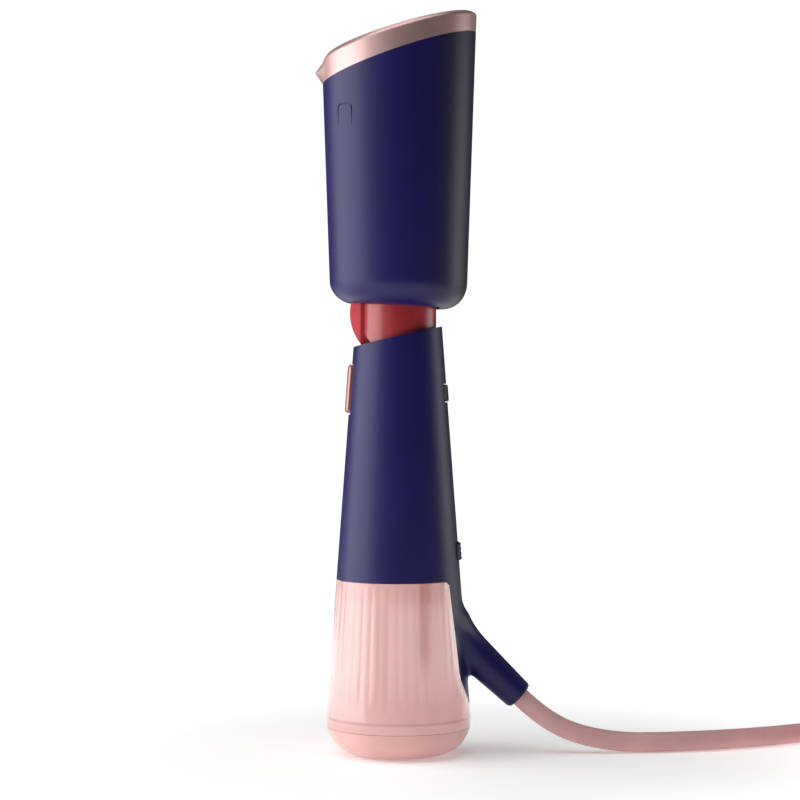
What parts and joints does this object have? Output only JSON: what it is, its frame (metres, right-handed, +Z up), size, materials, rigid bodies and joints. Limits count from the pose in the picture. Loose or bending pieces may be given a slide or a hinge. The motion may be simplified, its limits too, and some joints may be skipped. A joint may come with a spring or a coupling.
{
  "type": "handheld garment steamer",
  "caption": "Handheld garment steamer with a tilting steam head, navy grip, rose-gold ring, red pivot, fluted clear pink water tank and pink mains lead.",
  "frame": {"origin": "centre of the tank's foot, on the surface it stands on", "axes": "+Z up along the grip, +X towards the back where the mains lead leaves, -X towards the trigger"},
  "size_m": [0.3286, 0.1052, 0.326],
  "materials": {
    "shell": "satin navy",
    "ring": "rose gold, satin",
    "plate": "satin",
    "cast": "as cast",
    "element": "heat tinted",
    "silicone": "matt",
    "inner": "matt",
    "steel": "satin",
    "brass": "machined",
    "joint_red": "gloss red",
    "joint_dark": "matt",
    "trigger": "rose, satin",
    "navy_button": "satin",
    "copper": "enamelled",
    "pump": "matt",
    "board": "lacquered",
    "parts": "matt",
    "clear_pink": "clear, tinted pink",
    "pink": "gloss, tinted pink",
    "seal": "matt",
    "lead": "satin, dusty pink",
    "pad": "matt"
  },
  "bodies": {
    "handle": {"knuckle_left": "joint_red", "knuckle_right": "joint_red", "hinge_pin": "steel", "knuckle_shield": "joint_red", "knuckle_seat": "joint_dark", "tilt_spring": "steel", "handle_shell": "shell", "trigger_axle": "steel", "tank_deck": "inner", "deck_rails": "inner", "suction_hose": "silicone", "pump_body": "pump", "pump_coil": "copper", "pump_mounts": "silicone", "delivery_hose": "silicone", "chassis": "inner", "control_board": "board", "board_parts": "parts", "power_switch": "parts", "power_springs": "steel", "switch_bracket": "inner", "trigger_switch": "parts", "trigger_spring": "steel", "latch_bracket": "inner", "latch_pin": "steel", "release_springs": "steel", "cord_grommet": "lead", "cord_entry": "lead", "power_cord": "lead", "cord_coil": "lead", "cord_tail": "lead", "cord_tie": "pad", "plug_body": "lead", "plug_pins": "brass"},
    "head": {"head_shell": "shell", "plate_ring": "ring", "soleplate": "plate", "steam_chamber": "cast", "heating_element": "element", "plate_gasket": "silicone", "heat_screen": "steel", "thermostat": "steel", "thermal_fuse": "brass", "neck_yoke": "joint_dark", "yoke_screws": "steel", "hinge_bush": "brass", "head_hose": "silicone"},
    "trigger": {"steam_trigger": "trigger"},
    "power": {"power_button": "navy_button"},
    "release": {"release_button": "navy_button"},
    "latch": {"tank_latch": "inner"},
    "tank": {"tank_vessel": "clear_pink", "tank_lid": "pink", "filler_plug": "seal", "outlet_valve": "silicone", "dip_tube": "silicone", "lid_seal": "seal", "tank_base": "pink", "foot_pad": "pad"}
  },
  "joints": [
    {"name": "head_tilt", "type": "hinge", "parent": "handle", "child": "head", "pos_m": [0, 0, 0.1931], "axis": [0, -1, 0], "range_deg": [-10, 20], "stiffness_Nm_per_rad": 1},
    {"name": "trigger_pull", "type": "hinge", "parent": "handle", "child": "trigger", "pos_m": [-0.0158, 0, 0.1687], "axis": [0, -1, 0], "range_deg": [0, 4], "stiffness_Nm_per_rad": 0.05},
    {"name": "power_press", "type": "slide", "parent": "handle", "child": "power", "axis": [-1, 0, 0], "range_m": [0, 0.0012], "stiffness_N_per_m": 200},
    {"name": "release_press", "type": "slide", "parent": "handle", "child": "release", "axis": [-1, 0, 0], "range_m": [0, 0.0012], "stiffness_N_per_m": 200},
    {"name": "latch_lift", "type": "hinge", "parent": "handle", "child": "latch", "pos_m": [0.006, 0, 0.0826], "axis": [0, -1, 0], "range_deg": [0, 8.6]},
    {"name": "tank_slide", "type": "slide", "parent": "handle", "child": "tank", "axis": [-1, 0, 0], "range_m": [0, 0.08]}
  ],
  "couplings": [
    {"joint": "latch_lift", "follows": "release_press", "rad_per_m": 125}
  ]
}
